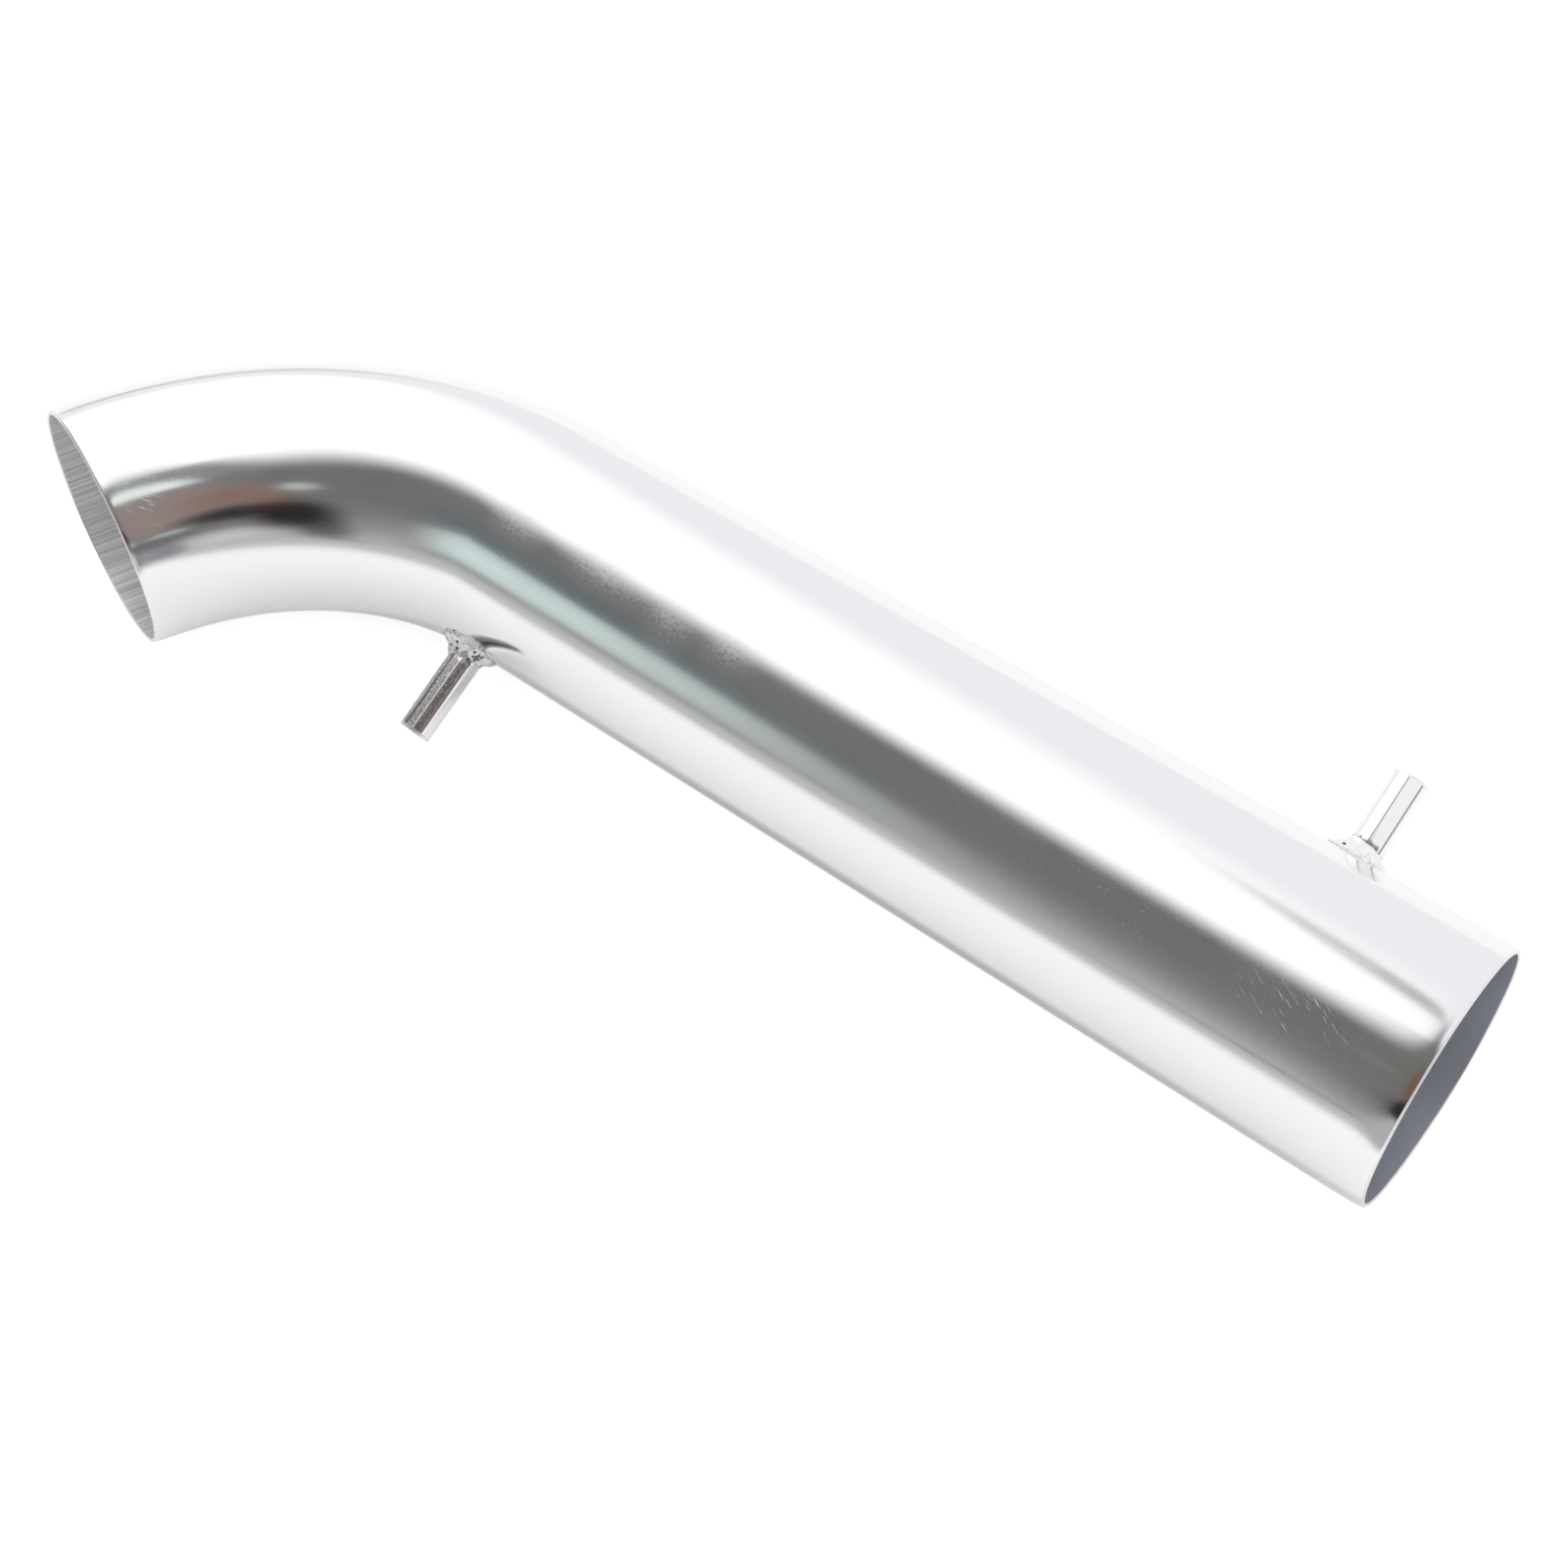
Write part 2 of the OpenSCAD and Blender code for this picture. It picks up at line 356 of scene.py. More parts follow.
def weld_bead(name, body, pore_from, pore_to, frosted, pits):
    """A pit is a small hole at a place of its own, besides the pores that the pattern spreads. Both are
    drawn only as dark colour, painted shade of holes that the form does not have.
    """
    material, tree = new_material(name)
    where = add(tree, "ShaderNodeTexCoord")
    frost = add(tree, "ShaderNodeTexNoise", {"Vector": where.outputs["Object"]}, Scale=FROSTING, Detail=3.0)
    rough = add(tree, "ShaderNodeMapRange", {"Value": frost.outputs["Fac"]},
                From_Min=0.3, From_Max=0.7, To_Min=0.2, To_Max=0.38)
    cells = add(tree, "ShaderNodeTexVoronoi", {"Vector": where.outputs["Object"]}, Scale=PORES)
    pore = add(tree, "ShaderNodeMapRange", {"Value": cells.outputs["Distance"]},
               From_Min=pore_from, From_Max=pore_to, To_Min=0.0, To_Max=1.0)
    pit = add(tree, "ShaderNodeMapRange",
              {"Value": ovals(tree, where.outputs["Object"], [(place, PIT_SIZE) for place in pits])},
              From_Min=0.0, From_Max=0.35)
    # 1 on open metal, falling to 0 in the painted shade of pores and pits.
    unpitted = add(tree, "ShaderNodeMath", {0: pore.outputs[0], 1: pit.outputs[0]}, operation="SUBTRACT")
    tint = add(tree, "ShaderNodeMix",
               {"Factor": unpitted.outputs[0], "A": colour(PORE_SHADE), "B": colour(body)}, data_type="RGBA")
    bump = add(tree, "ShaderNodeBump", {"Height": frost.outputs["Fac"]}, Strength=frosted, Distance=0.0002)
    shader = add(tree, "ShaderNodeBsdfPrincipled",
                 {"Roughness": rough.outputs[0], "Base Color": tint.outputs["Result"],
                  "Normal": bump.outputs[0]}, Metallic=0.85)
    add(tree, "ShaderNodeOutputMaterial", {"Surface": shader.outputs["BSDF"]})
    return material


outside, inside, edge = buffed_aluminium(), drawn_bore(), cut_edge()
# The bend nipple's darker side is a painted dark reflection, and that side is also rougher.
small_tubes = {"end_nipple": drawn_nipple("drawn_nipple", -1, False, [0.1, 3.9], []),
               "bend_nipple": drawn_nipple("nipple_painted_dark_side", 1, True, [3.9], [1.5])}
print("materials:", [m.name for m in bpy.data.materials])

# %% [markdown]
# ## One way to make every tube
# A tube is a ring that walks: out along its outer face, round the cut edge, back along its bore and round
# the other cut edge to where it began. Each stop of the walk is a placement and a radius. The ring is a
# circle, each step extrudes it and moves the new ring to the next stop, and at the end the last ring is
# welded to the first. So the pipe and both nipples come from one function and are closed by themselves.

# %% Walk a ring along its stops
MERGE = 0.005 * MM


def walk(stops, around):
    """Stops are (placement, radius, finish), with the ring's axis along Z of the placement."""
    bm = bmesh.new()
    before, radius, _ = stops[0]
    ring = bmesh.ops.create_circle(bm, segments=around, radius=radius, matrix=before)["verts"]
    edges = list({e for v in ring for e in v.link_edges})
    for after, next_radius, finish in stops[1:]:
        made = bmesh.ops.extrude_edge_only(bm, edges=edges)["geom"]
        ring = [g for g in made if isinstance(g, bmesh.types.BMVert)]
        fresh = set(ring)
        edges = [g for g in made if isinstance(g, bmesh.types.BMEdge) and fresh.issuperset(g.verts)]
        for face in (g for g in made if isinstance(g, bmesh.types.BMFace)):
            face.material_index = finish
        grow = Matrix.Scale(next_radius / radius, 4)
        bmesh.ops.transform(bm, matrix=after @ grow @ before.inverted(), verts=ring)
        before, radius = after, next_radius
    bmesh.ops.remove_doubles(bm, verts=bm.verts, dist=MERGE)
    bmesh.ops.recalc_face_normals(bm, faces=bm.faces)
    return bm


def rounded_lip(outer, inner, rounding, steps=3):
    """Stops of a cut edge as (depth below the mouth, radius), from the outer face over to the bore."""
    quarter = [math.radians(90 * i / steps) for i in range(steps + 1)]
    out = [(rounding * (1 - math.sin(a)), outer - rounding * (1 - math.cos(a))) for a in quarter]
    back = [(rounding * (1 - math.sin(a)), inner + rounding * (1 - math.cos(a))) for a in reversed(quarter)]
    return out + back


def finish_mesh(name, bm, materials):
    mesh = bpy.data.meshes.new(name)
    for face in bm.faces:
        face.smooth = True
    bm.to_mesh(mesh)
    bm.free()
    piece = bpy.data.objects.new(name, mesh)
    bpy.context.scene.collection.objects.link(piece)
    for material in materials:
        mesh.materials.append(material)
    return piece


# %% [markdown]
# ## The pipe
# On the real pipe a straight tube is filled with a mandrel and drawn round a die, so its section stays
# round through the bend. The stops lie close together at the mouths, where the wheel has rolled the
# surface off a little, and in the bend. In the straight they can be far apart.

# %% Stops along the pipe
def station(along):
    """Moves and turns a ring to its place at this distance from the long mouth, with Z along the run."""
    facing = Matrix.Rotation(math.radians(-90), 4, "Y")
    if along <= LEG:
        return Matrix.Translation((-along, 0, 0)) @ facing
    turn = Matrix.Rotation((along - LEG) / BEND_R, 4, "Z")
    at_bend = Matrix.Translation(-BEND_CENTRE + Vector((-LEG, 0, 0)))
    return Matrix.Translation(BEND_CENTRE) @ turn @ at_bend @ facing


AROUND = 192
NEAR_MOUTH = [d * MM for d in (0.4, 0.6, 0.9, 1.3, 1.8, 2.4, 3.2, 4.5, 6, 8, 10.5, 14, 18)]
LEG_STEP, BEND_STEP = 12 * MM, 3 * MM
LIP = 0.4 * MM
ROLL_OFF = [(0.40 * MM, 1.3 * MM), (0.15 * MM, 6.0 * MM)]


def spread(start, end, step):
    count = max(1, round((end - start) / step))
    return [start + (end - start) * i / count for i in range(count)]


inner_part = NEAR_MOUTH[-1]
alongs = NEAR_MOUTH[:-1] + spread(inner_part, LEG, LEG_STEP) + spread(LEG, RUN - inner_part, BEND_STEP)
alongs += [RUN - d for d in reversed(NEAR_MOUTH)]


def outer_radius(along):
    """The wheel takes a little off near a mouth: each entry of the roll-off has a depth and a reach."""
    to_mouth = min(along, RUN - along)
    return PIPE_R - sum(depth * math.exp(-to_mouth / reach) for depth, reach in ROLL_OFF)


OUTSIDE, INSIDE, EDGE = 0, 1, 2
mouth_lip = rounded_lip(outer_radius(0), BORE_R, LIP)
stops = [(station(a), outer_radius(a), OUTSIDE) for a in alongs]
stops += [(station(RUN - depth), radius, EDGE) for depth, radius in mouth_lip]
stops += [(station(a), BORE_R, INSIDE) for a in reversed(alongs)]
stops += [(station(depth), radius, EDGE) for depth, radius in reversed(mouth_lip)]
stops += [(station(alongs[0]), outer_radius(alongs[0]), OUTSIDE)]
pipe = finish_mesh("pipe_skin", walk(stops, AROUND), [outside, inside, edge])
print("pipe:", len(stops), "stops,", len(pipe.data.polygons), "faces")

# %% [markdown]
# Under each nipple a hole is drilled through the wall. It is cut with a Boolean modifier, which is the
# plainest way to drill a finished mesh. The modifier is then turned into real mesh.

# %% Drill the holes under the nipples
HOLE_LIP = 0.2 * MM
DRILL_PAST = 8 * MM
SMALL_AROUND = 64


def nipple_frame(name):
    """Placement of a nipple's tip, with Z out of the pipe and X along it."""
    up = heading(name)
    side = Vector((1, 0, 0))
    turned = Matrix((side, up.cross(side), up)).transposed().to_4x4()
    return Matrix.Translation(place(name)) @ turned


def drill(piece, name):
    length = size(name, "length_mm") + DRILL_PAST
    radius = size(name, "r_mm") - HOLE_LIP
    bm = bmesh.new()
    bmesh.ops.create_cone(bm, segments=SMALL_AROUND, radius1=radius, radius2=radius, depth=length,
                          cap_ends=True,
                          matrix=nipple_frame(name) @ Matrix.Translation((0, 0, -length / 2)))
    bit = finish_mesh("bit", bm, [])
    cut = piece.modifiers.new("drill", "BOOLEAN")
    cut.object, cut.operation, cut.solver = bit, "DIFFERENCE", "EXACT"
    solid = piece.evaluated_get(bpy.context.evaluated_depsgraph_get())
    drilled = bpy.data.meshes.new_from_object(solid)
    piece.modifiers.clear()
    piece.data = drilled
    bpy.data.objects.remove(bit)


for name in ("end_nipple_bore", "bend_nipple_bore"):
    drill(pipe, name)
print("pipe after drilling:", len(pipe.data.polygons), "faces")

# %% [markdown]
# The marks of drawing and buffing run along the tube and follow it round the bend. So each point also
# stores where it would lie if the bend were straightened, and the materials read that attribute.

# %% Store the straightened places
def unbend(point):
    if point.x > -LEG:
        return Vector(point)
    arm = point - BEND_CENTRE
    turn = math.atan2(-arm.x, arm.y)
    return Vector((-LEG - turn * BEND_R, math.hypot(arm.x, arm.y) - BEND_R, point.z))


def store(piece, name, rule):
    layer = piece.data.attributes.new(name, "FLOAT_VECTOR", "POINT")
    for i, vertex in enumerate(piece.data.vertices):
        layer.data[i].vector = rule(vertex.co)


def dress(piece, node):
    """The piece moves with the body of the solid that it shows, and takes its place."""
    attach(piece, "root")
    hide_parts(node)


store(pipe, "unbent", unbend)
dress(pipe, "pipe")

# %% [markdown]
# ## The hose nipples
# Each is a short cut of small tube, square at the tip and coped at the foot, which is the saddle cut that
# lets a tube sit on a round one. The tube is made straight first, and then its foot is let down along the
# nipple's own axis until it meets the pipe, by stepping the distance that is left a few times.

# %% Make the nipples
NIPPLE_LIP = 0.3 * MM
BLIND_FOOT, WELD_BURIES, NIPPLE_STEP = 4 * MM, 2 * MM, 4 * MM
FOOT_REACH = 0.1 * MM
COPE_TRIES = 8


def clear_of_pipe(point):
    if point.x > -LEG:
        return math.hypot(point.y, point.z) - PIPE_R
    arm = point - BEND_CENTRE
    return math.hypot(math.hypot(arm.x, arm.y) - BEND_R, point.z) - PIPE_R


def cope(bm, is_foot, down):
    for vertex in (v for v in bm.verts if is_foot(v.co)):
        for _ in range(COPE_TRIES):
            vertex.co += down * clear_of_pipe(vertex.co)


def nipple_skin(name):
    """The foot starts short of the pipe. The next stop is buried in the weld, so what shows is straight."""
    bore, seat = name + "_bore", name + "_hose_seat"
    tip, outer, inner = nipple_frame(bore), size(seat, "r_mm"), size(bore, "r_mm")
    foot = size(bore, "length_mm") - BLIND_FOOT
    lip = rounded_lip(outer, inner, NIPPLE_LIP)
    crisp = 3 * NIPPLE_LIP
    buried = foot - WELD_BURIES
    wall = [foot, buried] + spread(buried, crisp, -NIPPLE_STEP)[1:] + [crisp]
    path = [(depth, outer, 0) for depth in wall]
    path += [(depth, radius, 2) for depth, radius in lip] + [(foot, inner, 1), (foot, outer, 1)]
    stops = [(tip @ Matrix.Translation((0, 0, -depth)), radius, finish) for depth, radius, finish in path]
    bm = walk(stops, SMALL_AROUND)
    place_back = tip.inverted()
    cope(bm, lambda point: (place_back @ point).z < FOOT_REACH - foot, -heading(bore))
    piece = finish_mesh(name + "_skin", bm, [small_tubes[name], inside, edge])
    store(piece, "upright", lambda point: place_back @ point)
    store(piece, "unbent", lambda point: (place_back @ point).zxy)
    dress(piece, name)
    return piece


for name in ("end_nipple", "bend_nipple"):
    print(name, len(nipple_skin(name).data.polygons), "faces")

# %% [markdown]
# ## The weld beads
# The solids have the beads' true sections and ripples. A copy of each is cut finer and pushed in and out
# by noise, in soft lumps as wide as the puddle of a torch and in a finer frost. Each point moves along its
# own normal by a fraction of a millimetre, so the bead keeps its place and its form. Close to the pipe
# the push dies out, and the lowest points are let down until they all but touch it.

# %% Make the beads
# Pits, in mm from the nipple's tip: along the pipe, across it, and out of it.
END_PITS = [(-4.41, -6.37, -25.11)]
BEND_PITS = [(4.60, 5.54, -29.61), (4.09, 4.04, -28.37), (4.96, 3.66, -28.78), (5.64, 4.00, -29.52),
             (6.19, 3.19, -29.39), (4.59, 3.03, -27.91), (5.43, 2.88, -28.45)]


def pits_of(nipple, pits):
    return [nipple_frame(nipple) @ (Vector(pit) * MM) for pit in pits]


beads = {"end_weld": weld_bead("bright_aluminium_weld", "#FAF9F8", 0.06, 0.14, 0.45,
                               pits_of("end_nipple_bore", END_PITS)),
         "bend_weld": weld_bead("cast_aluminium_weld", "#E4E2E1", 0.14, 0.28, 0.80,
                                pits_of("bend_nipple_bore", BEND_PITS))}
# Lumps of about 2.4 mm and frost of 0.7 mm, each with its height and its scale per metre.
LUMP, LUMP_SCALE = 0.45 * MM, 420
FROST, FROST_SCALE = 0.10 * MM, 1500
TOE, TOE_DOWN = 0.6 * MM, 0.9
PUSH_FROM = 0.5 * MM


def out_of_pipe(point):
    """Direction straight out of the pipe's surface."""
    if point.x > -LEG:
        return Vector((0, point.y, point.z)).normalized()
    arm = Vector((point.x, point.y, 0)) - BEND_CENTRE
    return (point - BEND_CENTRE - arm.normalized() * BEND_R).normalized()


def bead_skin(name, seed):
    node = frame["nodes"][name]
    bm = bmesh.new()
    bm.from_mesh(node.data)
    bm.transform(node.matrix_world)
    bmesh.ops.remove_doubles(bm, verts=bm.verts, dist=MERGE)
    bmesh.ops.recalc_face_normals(bm, faces=bm.faces)
    bmesh.ops.subdivide_edges(bm, edges=bm.edges, cuts=2, use_grid_fill=True)
    bm.normal_update()
    shift = Vector((seed, seed, seed))
    for vertex in bm.verts:
        off_pipe = min(1, max(0, clear_of_pipe(vertex.co)) / PUSH_FROM)
        push = LUMP * noise.noise(vertex.co * LUMP_SCALE + shift)
        push += FROST * noise.noise(vertex.co * FROST_SCALE + shift)
        vertex.co += vertex.normal * push * off_pipe
    for vertex in bm.verts:
        height = clear_of_pipe(vertex.co)
        if height < TOE:
            vertex.co -= out_of_pipe(vertex.co) * height * TOE_DOWN
    piece = finish_mesh(name + "_skin", bm, [beads[name]])
    dress(piece, name)
    return piece


for name, seed in (("end_weld", 3), ("bend_weld", 8)):
    print(name, len(bead_skin(name, seed).data.polygons), "faces")

# %% [markdown]
# ## The floor
# The pipe lies on plain white paper. For the camera the paper glows a little, so that it stays white and
# keeps only the dark of the shadow. In the mirror of the pipe it glows much less.

# %% Floor
FLOOR_Z = -PIPE_R
FLOOR_SIZE = 12
GLOW_FOR_CAMERA, GLOW_FOR_MIRROR = 0.55, 0.12


def stage_mesh(name, bm, material):
    thing = finish_mesh(name, bm, [material])
    return thing


def sheet_of(name, width, depth, matrix, material):
    bm = bmesh.new()
    bm.loops.layers.uv.new()
    bmesh.ops.create_grid(bm, x_segments=1, y_segments=1, size=0.5, calc_uvs=True)
    bmesh.ops.transform(bm, matrix=matrix @ Matrix.Diagonal((width, depth, 1, 1)), verts=bm.verts)
    return stage_mesh(name, bm, material)


def by_ray(tree, ray, shader_no, shader_yes):
    """Picks the second shader for one kind of ray, such as the camera's."""
    path = add(tree, "ShaderNodeLightPath")
    return add(tree, "ShaderNodeMixShader",
               {"Fac": path.outputs[ray], 1: shader_no.outputs[0], 2: shader_yes.outputs[0]})


def let_through(tree, share, light):
    """Ends a material with light that fades to clear as its share falls to 0."""
    clear = add(tree, "ShaderNodeBsdfTransparent")
    pick = add(tree, "ShaderNodeMixShader", {"Fac": share, 1: clear.outputs[0], 2: light.outputs[0]})
    add(tree, "ShaderNodeOutputMaterial", {"Surface": pick.outputs[0]})


def floor_paper():
    material, tree = new_material("white_paper")
    paper = add(tree, "ShaderNodeBsdfDiffuse", Color=colour("#F4F4F4"))
    for_camera = add(tree, "ShaderNodeEmission", Color=(1, 1, 1, 1), Strength=GLOW_FOR_CAMERA)
    for_mirror = add(tree, "ShaderNodeEmission", Color=(1, 1, 1, 1), Strength=GLOW_FOR_MIRROR)
    plain = add(tree, "ShaderNodeEmission", Color=(0, 0, 0, 1), Strength=0.0)
    extra = by_ray(tree, "Is Camera Ray", by_ray(tree, "Is Glossy Ray", plain, for_mirror), for_camera)
    both = add(tree, "ShaderNodeAddShader", {0: paper.outputs[0], 1: extra.outputs[0]})
    add(tree, "ShaderNodeOutputMaterial", {"Surface": both.outputs[0]})
    return material


floor = sheet_of("floor", FLOOR_SIZE, FLOOR_SIZE, Matrix.Translation((0, 0, FLOOR_Z)), floor_paper())

# %% [markdown]
# ## The room in the mirror
# A polished tube is lit by what it reflects. The even light of the room comes from the world. The cards
# below are seen by glossy rays only, so they draw the bands on the metal and light nothing else: a big
# soft box overhead, a dark half-round wall in front, and soft-edged cards before that wall, which stand
# for the window, the warm and the dark things of a workshop. A direction is given by azimuth, from the
# front towards +X, and by elevation.

# %% Cards that only the mirror sees
# The polished metal returns this share of the light, so a card shines by so much more.
MIRROR_LOSS = 1 / 0.913
WALL_RADIUS = 2.4
WALL_FROM, WALL_TO, WALL_TOP, WALL_STEPS = -88, 80, 9.0, 60


def mirror_only(thing):
    thing.visible_camera = False
    thing.visible_diffuse = False
    thing.visible_shadow = False
    return thing


def towards(azimuth, elevation, distance):
    a, e = math.radians(azimuth), math.radians(elevation)
    return Vector((math.sin(a) * math.cos(e), -math.cos(a) * math.cos(e), math.sin(e))) * distance


# Elevation in degrees and colour.
WALL_SHADES = [(0, "#A8A8A8"), (6, "#989897"), (14, "#858583"),
               (22, "#787775"), (34, "#6E6D6B"), (60, "#6A6B69")]


def wall_shades():
    """Grey that darkens with the elevation at which the pipe sees it."""
    material, tree = new_material("dark_wall")
    where = add(tree, "ShaderNodeTexCoord")
    axes = add(tree, "ShaderNodeSeparateXYZ", {"Vector": where.outputs["Object"]})
    high = add(tree, "ShaderNodeMath", {0: axes.outputs["Z"], 1: WALL_RADIUS}, operation="ARCTAN2")
    share = add(tree, "ShaderNodeMath", {0: high.outputs[0], 1: math.pi / 2}, operation="DIVIDE")
    shade = add(tree, "ShaderNodeValToRGB", {"Fac": share.outputs[0]},
                stops=[(elevation / 90, hex_code) for elevation, hex_code in WALL_SHADES])
    light = add(tree, "ShaderNodeEmission", {"Color": shade.outputs["Color"]}, Strength=MIRROR_LOSS)
    add(tree, "ShaderNodeOutputMaterial", {"Surface": light.outputs[0]})
    return material


bm = bmesh.new()
foot = bm.verts.new(towards(WALL_FROM, 0, WALL_RADIUS) + Vector((0, 0, FLOOR_Z)))
top = bm.verts.new(foot.co + Vector((0, 0, WALL_TOP)))
upright = bm.edges.new((foot, top))
bmesh.ops.spin(bm, geom=[foot, top, upright], cent=(0, 0, 0), axis=(0, 0, 1),
               angle=math.radians(WALL_TO - WALL_FROM), steps=WALL_STEPS)
mirror_only(stage_mesh("dark_wall", bm, wall_shades()))


def soft_glow(name, hex_code, share, softness):
    """Light that fades to nothing over the outer part of a card."""
    material, tree = new_material(name)
    where = add(tree, "ShaderNodeTexCoord")
    centred = add(tree, "ShaderNodeMapping", {"Vector": where.outputs["UV"]},
                  Location=(-1, -1, 0), Scale=(2, 2, 1))
    fade = add(tree, "ShaderNodeTexGradient", {"Vector": centred.outputs[0]}, gradient_type="SPHERICAL")
    soft = add(tree, "ShaderNodeMapRange", {"Value": fade.outputs["Fac"]}, interpolation_type="SMOOTHSTEP",
               From_Min=0.0, From_Max=softness, To_Min=0.0, To_Max=share)
    light = add(tree, "ShaderNodeEmission", Color=colour(hex_code), Strength=MIRROR_LOSS)
    let_through(tree, soft.outputs[0], light)
    return material


# Name, azimuth, elevation, width and height in degrees, colour, strength and softness of its edge.
# The last is nearest.
SOFT_CARDS = [
    ("warm_wall", 64, 36, 66, 70, "#8C7E7A", 1.0, 0.8),
    ("orange_door", 30, 24, 20, 26, "#A5653A", 0.9, 0.8),
    ("lavender_bench", 64, 14, 66, 20, "#646266", 0.9, 0.9),
    ("dark_bench", 15, 5, 28, 32, "#4E4F4D", 0.9, 0.8),
    ("pale_bench", 48, 3, 56, 22, "#C0BFC0", 1.0, 0.9),
    ("mint_window", 82, 62, 42, 13, "#E8F2EE", 1.0, 0.4),
    ("blue_shade", -33, 27, 50, 30, "#5A6467", 0.8, 0.9),
    ("teal_window", -35, 12, 50, 40, "#CBDBD8", 1.0, 0.9),
    ("table_line", -32, 0, 60, 10, "#868C88", 0.8, 0.9),
    ("red_brown_card", 40, 39, 42, 24, "#84675D", 0.9, 0.9),
    ("dark_shelf", 42, 24, 46, 18, "#2C2A2B", 1.0, 0.7),
    ("black_card", 24, 18, 40, 36, "#242221", 1.0, 0.7),
    ("mint_spot", 18, 42, 15, 10, "#C4D0C9", 0.9, 0.9),
    ("grey_skirting", -124, 0, 50, 9, "#B9B7BA", 0.9, 0.9),
    ("skirting_corner", -115, -4, 14, 11, "#8F8F92", 0.9, 0.9),
    ("lilac_box", 64, 1, 15, 20, "#7F7F85", 0.9, 0.5),
    ("mint_line", 62, 18, 19, 5, "#B4C8C0", 0.9, 0.9),
]
SEEN_FROM = Vector((-0.38, -0.03, 0.03))
FARTHEST, CARD_STEP = 1.95, 0.03


def soft_card(name, azimuth, elevation, width, height, hex_code, share, softness, distance):
    turned = towards(azimuth, elevation, 1).to_track_quat("Z", "Y").to_matrix().to_4x4()
    middle = Matrix.Translation(SEEN_FROM + towards(azimuth, elevation, distance))
    wide, high = (2 * distance * math.tan(math.radians(v / 2)) for v in (width, height))
    mirror_only(sheet_of(name, wide, high, middle @ turned, soft_glow(name, hex_code, share, softness)))


for i, card in enumerate(SOFT_CARDS):
    soft_card(*card, distance=FARTHEST - CARD_STEP * i)
print(len(SOFT_CARDS), "soft cards")

# %% [markdown]
# The edge of the long mouth is rolled off by the wheel, so it looks sideways into a corner that the rest
# of the pipe never shows. To find where a card has to hang for that, the line of sight is reflected at
# the rim: twice the share of the sight along the surface's normal, less the sight itself. Two
# cards of the room's own white hang above and beside the end nipple, so that it stays bright.

# %% Cards close to the pipe
EYE = Vector((60.56, -339.49, 496.04)) * MM
ROLL_TILT = 0.08
NEAR_BY, NEAR_STEP = 50 * MM, 5 * MM
# Name, first and last angle round the mouth in degrees, middle and width in mm, colour and strength.
# The last is nearest.
RIM_CARDS = [
    ("rim_shade", 36, 70, 4, 44, "#6A6A66", 1.0),
    ("rim_bench", 17, 37, 4, 42, "#A9A9A9", 1.0),
    ("rim_rust", 38, 58, 7, 24, "#715347", 0.9),
    ("rim_black", 33, 43, 6, 26, "#1E1C1B", 0.9),
]
# Name, place, turn about Y in degrees, width and depth in metres.
WHITE_CARDS = [
    ("white_above", (-0.008, 0.042, 0.06), 0, 0.10, 0.055),
    ("white_beside", (0.03, 0.06, 0.035), 90, 0.08, 0.09),
]


def seen_from_rim(angle, distance):
    a = math.radians(angle)
    rim = Vector((0, -math.cos(a), math.sin(a))) * PIPE_R
    normal = Vector((ROLL_TILT, -math.cos(a), math.sin(a))).normalized()
    sight = (EYE - rim).normalized()
    return rim + (2 * normal.dot(sight) * normal - sight) * distance


def rim_card(name, start, end, middle_x, width, hex_code, share, distance):
    first, last = seen_from_rim(start, distance), seen_from_rim(end, distance)
    across, up = Vector((1, 0, 0)), (last - first).normalized()
    turned = Matrix((across, up, across.cross(up))).transposed().to_4x4()
    middle = (first + last) / 2
    middle.x = middle_x * MM
    glow = soft_glow(name, hex_code, share, 0.5)
    mirror_only(sheet_of(name, width * MM, (last - first).length, Matrix.Translation(middle) @ turned, glow))


for i, card in enumerate(RIM_CARDS):
    rim_card(*card, distance=NEAR_BY - NEAR_STEP * i)
ROOM_WHITE = soft_glow("room_white", "#EDEBEE", 1.0, 0.3)
for name, middle, turn, width, depth in WHITE_CARDS:
    hung = Matrix.Translation(middle) @ Matrix.Rotation(math.radians(turn), 4, "Y")
    mirror_only(sheet_of(name, width, depth, hung, ROOM_WHITE))
print(len(RIM_CARDS) + len(WHITE_CARDS), "cards close to the pipe")

# %% [markdown]
# The paper ends a little in front of the pipe, and a grey table goes on from there. It shows as the soft
# change at the lower edge of the dark band.

# %% Table in front of the paper
PAPER_FRONT, TABLE_SOFT = -0.27, 0.09
TABLE_SIZE, TABLE_SHADING = (6, 4), 1.2


def table_grey():
    material, tree = new_material("grey_table")
    where = add(tree, "ShaderNodeTexCoord")
    axes = add(tree, "ShaderNodeSeparateXYZ", {"Vector": where.outputs["Object"]})
    shade = add(tree, "ShaderNodeMapRange", {"Value": axes.outputs["Y"]},
                From_Min=PAPER_FRONT - TABLE_SHADING, From_Max=PAPER_FRONT - TABLE_SOFT)
    tone = add(tree, "ShaderNodeValToRGB", {"Fac": shade.outputs[0]},
               stops=[(0, "#A6A6A6"), (1, "#B9B9B9")])
    light = add(tree, "ShaderNodeEmission", {"Color": tone.outputs["Color"]}, Strength=MIRROR_LOSS)
    fade = add(tree, "ShaderNodeMapRange", {"Value": axes.outputs["Y"]}, interpolation_type="SMOOTHSTEP",
               From_Min=PAPER_FRONT - TABLE_SOFT, From_Max=PAPER_FRONT + TABLE_SOFT, To_Min=1.0, To_Max=0.0)
    let_through(tree, fade.outputs[0], light)
    return material


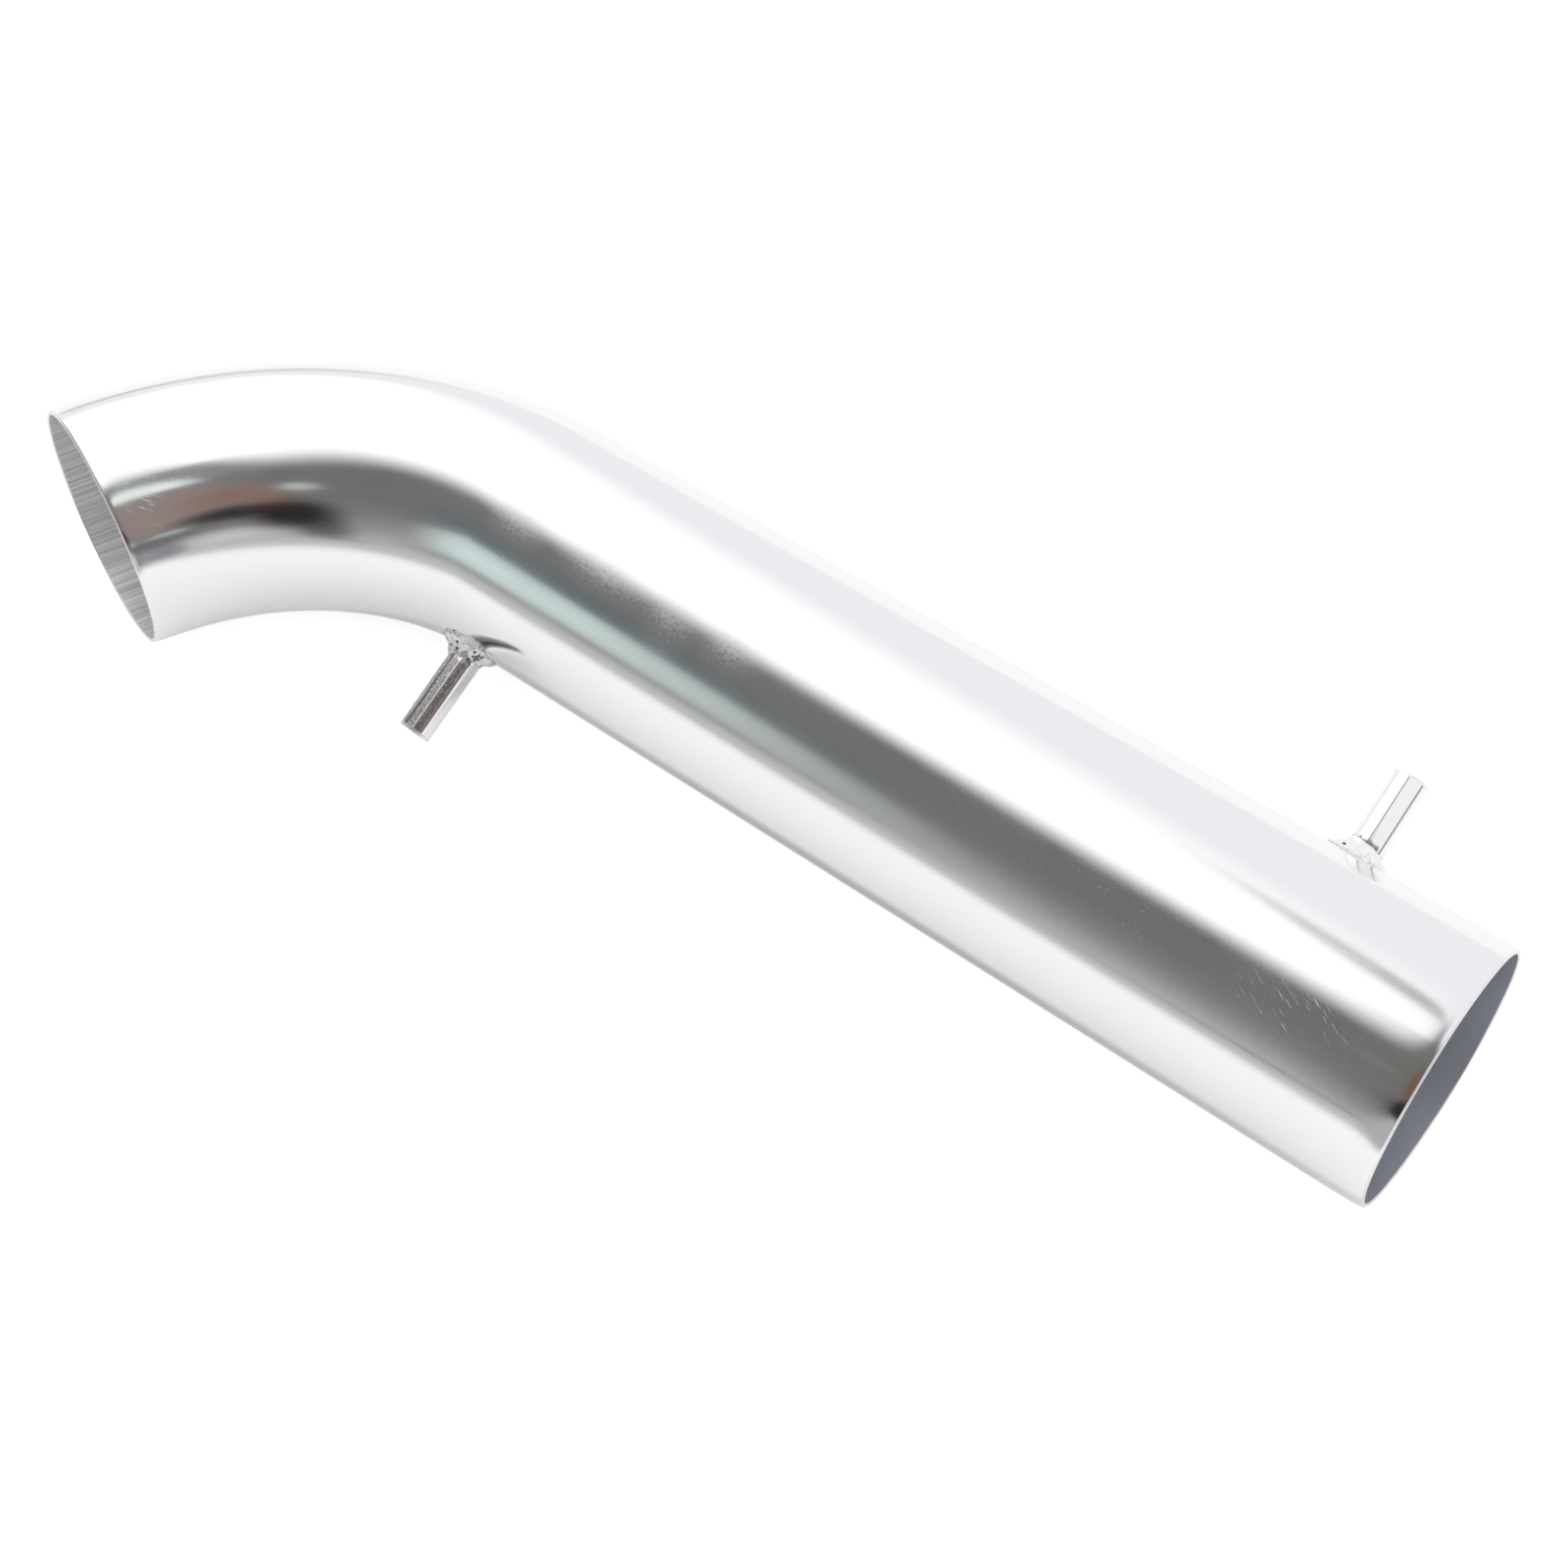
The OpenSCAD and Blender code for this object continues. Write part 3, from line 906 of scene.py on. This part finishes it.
lying = Matrix.Translation((0, PAPER_FRONT + TABLE_SOFT - TABLE_SIZE[1] / 2, FLOOR_Z + 0.5 * MM))
mirror_only(sheet_of("grey_table", *TABLE_SIZE, lying, table_grey()))

# %% [markdown]
# The soft box hangs over the pipe. Its front edge gives the sharp upper edge of the dark band, and its
# slanting back edge gives the slow fall of light behind the ridge. Each edge is a soft step across the
# sheet, and the three steps are multiplied.

# %% Overhead soft box
# Each edge has the distance where the light starts and where it is full. The back edge is measured along
# its slant, a direction on the sheet.
BOX_HEIGHT = 1.5
BOX_FRONT = (-0.98, -0.32)
BOX_RIGHT = (0.10, -0.33)
BOX_BACK = (0.65, -0.60)
BACK_SLANT = (0.661, 0.750, 0)
BOX_MIDDLE, BOX_SIZE, BOX_STRENGTH = (-2.5, 1.5), (6.0, 5.0), 1.3


def box_light():
    material, tree = new_material("overhead_soft_box")
    where = add(tree, "ShaderNodeTexCoord")
    axes = add(tree, "ShaderNodeSeparateXYZ", {"Vector": where.outputs["Object"]})
    slant = add(tree, "ShaderNodeVectorMath", {0: where.outputs["Object"], 1: BACK_SLANT},
                operation="DOT_PRODUCT")
    share = 1.0
    for value, (start, end) in ((axes.outputs["Y"], BOX_FRONT), (axes.outputs["X"], BOX_RIGHT),
                                (slant.outputs["Value"], BOX_BACK)):
        step = add(tree, "ShaderNodeMapRange", {"Value": value}, interpolation_type="SMOOTHSTEP",
                   From_Min=start, From_Max=end)
        cut = add(tree, "ShaderNodeMath", {0: share, 1: step.outputs[0]}, operation="MULTIPLY")
        share = cut.outputs[0]
    light = add(tree, "ShaderNodeEmission", Color=(1, 1, 1, 1), Strength=BOX_STRENGTH)
    let_through(tree, share, light)
    return material


over = Matrix.Translation((*BOX_MIDDLE, BOX_HEIGHT))
mirror_only(sheet_of("overhead_soft_box", *BOX_SIZE, over, box_light()))


def lying_glow(name, x, y, z, width, depth, turn, hex_code, share):
    """A soft patch that lies flat, such as the dark frame round the box or a mat on the table."""
    flat = Matrix.Translation((x, y, z)) @ Matrix.Rotation(math.radians(turn), 4, "Z")
    mirror_only(sheet_of(name, width, depth, flat, soft_glow(name, hex_code, share, 0.9)))


lying_glow("box_corner", -0.20, 0.26, BOX_HEIGHT - 0.02, 0.26, 0.90, 34, "#989A98", 0.9)
lying_glow("box_side", 0.10, -0.35, BOX_HEIGHT - 0.03, 0.50, 1.50, 0, "#868886", 0.9)
lying_glow("dark_mat", -0.10, -1.20, FLOOR_Z + 1 * MM, 0.50, 1.60, 14, "#6A6A6B", 0.9)
lying_glow("contact_shade", -0.17, -0.033, FLOOR_Z + 0.3 * MM, 0.60, 0.026, 0, "#A2A2A2", 0.8)

# %% [markdown]
# ## The even light of the room
# The world is plain white, so colours render about as they are written. In the mirror it has the faint
# lilac tint that the photo's whites have on the metal.

# %% World
world = bpy.data.worlds.new("studio")
bpy.context.scene.world = world
world.use_nodes = True
world.node_tree.nodes.clear()
tree = world.node_tree
room = add(tree, "ShaderNodeBackground", Color=(1, 1, 1, 1), Strength=1.0)
mirrored = add(tree, "ShaderNodeBackground", Color=colour("#F6F4F7"), Strength=1.0)
add(tree, "ShaderNodeOutputWorld", {"Surface": by_ray(tree, "Is Glossy Ray", room, mirrored).outputs[0]})

# %% [markdown]
# ## The camera
# The camera was fitted to the photograph by the outlines of the tube and the rims of its mouths. It
# looks down on the pipe from the front, so the long leg runs to the right and the bend comes forward.

# %% Camera
camera_data = bpy.data.cameras.new("camera")
camera = bpy.data.objects.new("camera", camera_data)
bpy.context.scene.collection.objects.link(camera)
LENS, SENSOR_WIDTH, NEAREST = 52.865, 36, 0.01
camera_data.lens, camera_data.sensor_width, camera_data.clip_start = LENS, SENSOR_WIDTH, NEAREST
camera_right = Vector((0.7837658, 0.6210486, -0.003144))
camera_up = Vector((-0.4822438, 0.611768, 0.6270414))
camera_back = camera_right.cross(camera_up).normalized()
camera_up = camera_back.cross(camera_right).normalized()
turned = Matrix((camera_right, camera_up, camera_back)).transposed().to_4x4()
camera.matrix_world = Matrix.Translation(EYE) @ turned
bpy.context.scene.camera = camera
bpy.context.scene.view_settings.view_transform = "Standard"
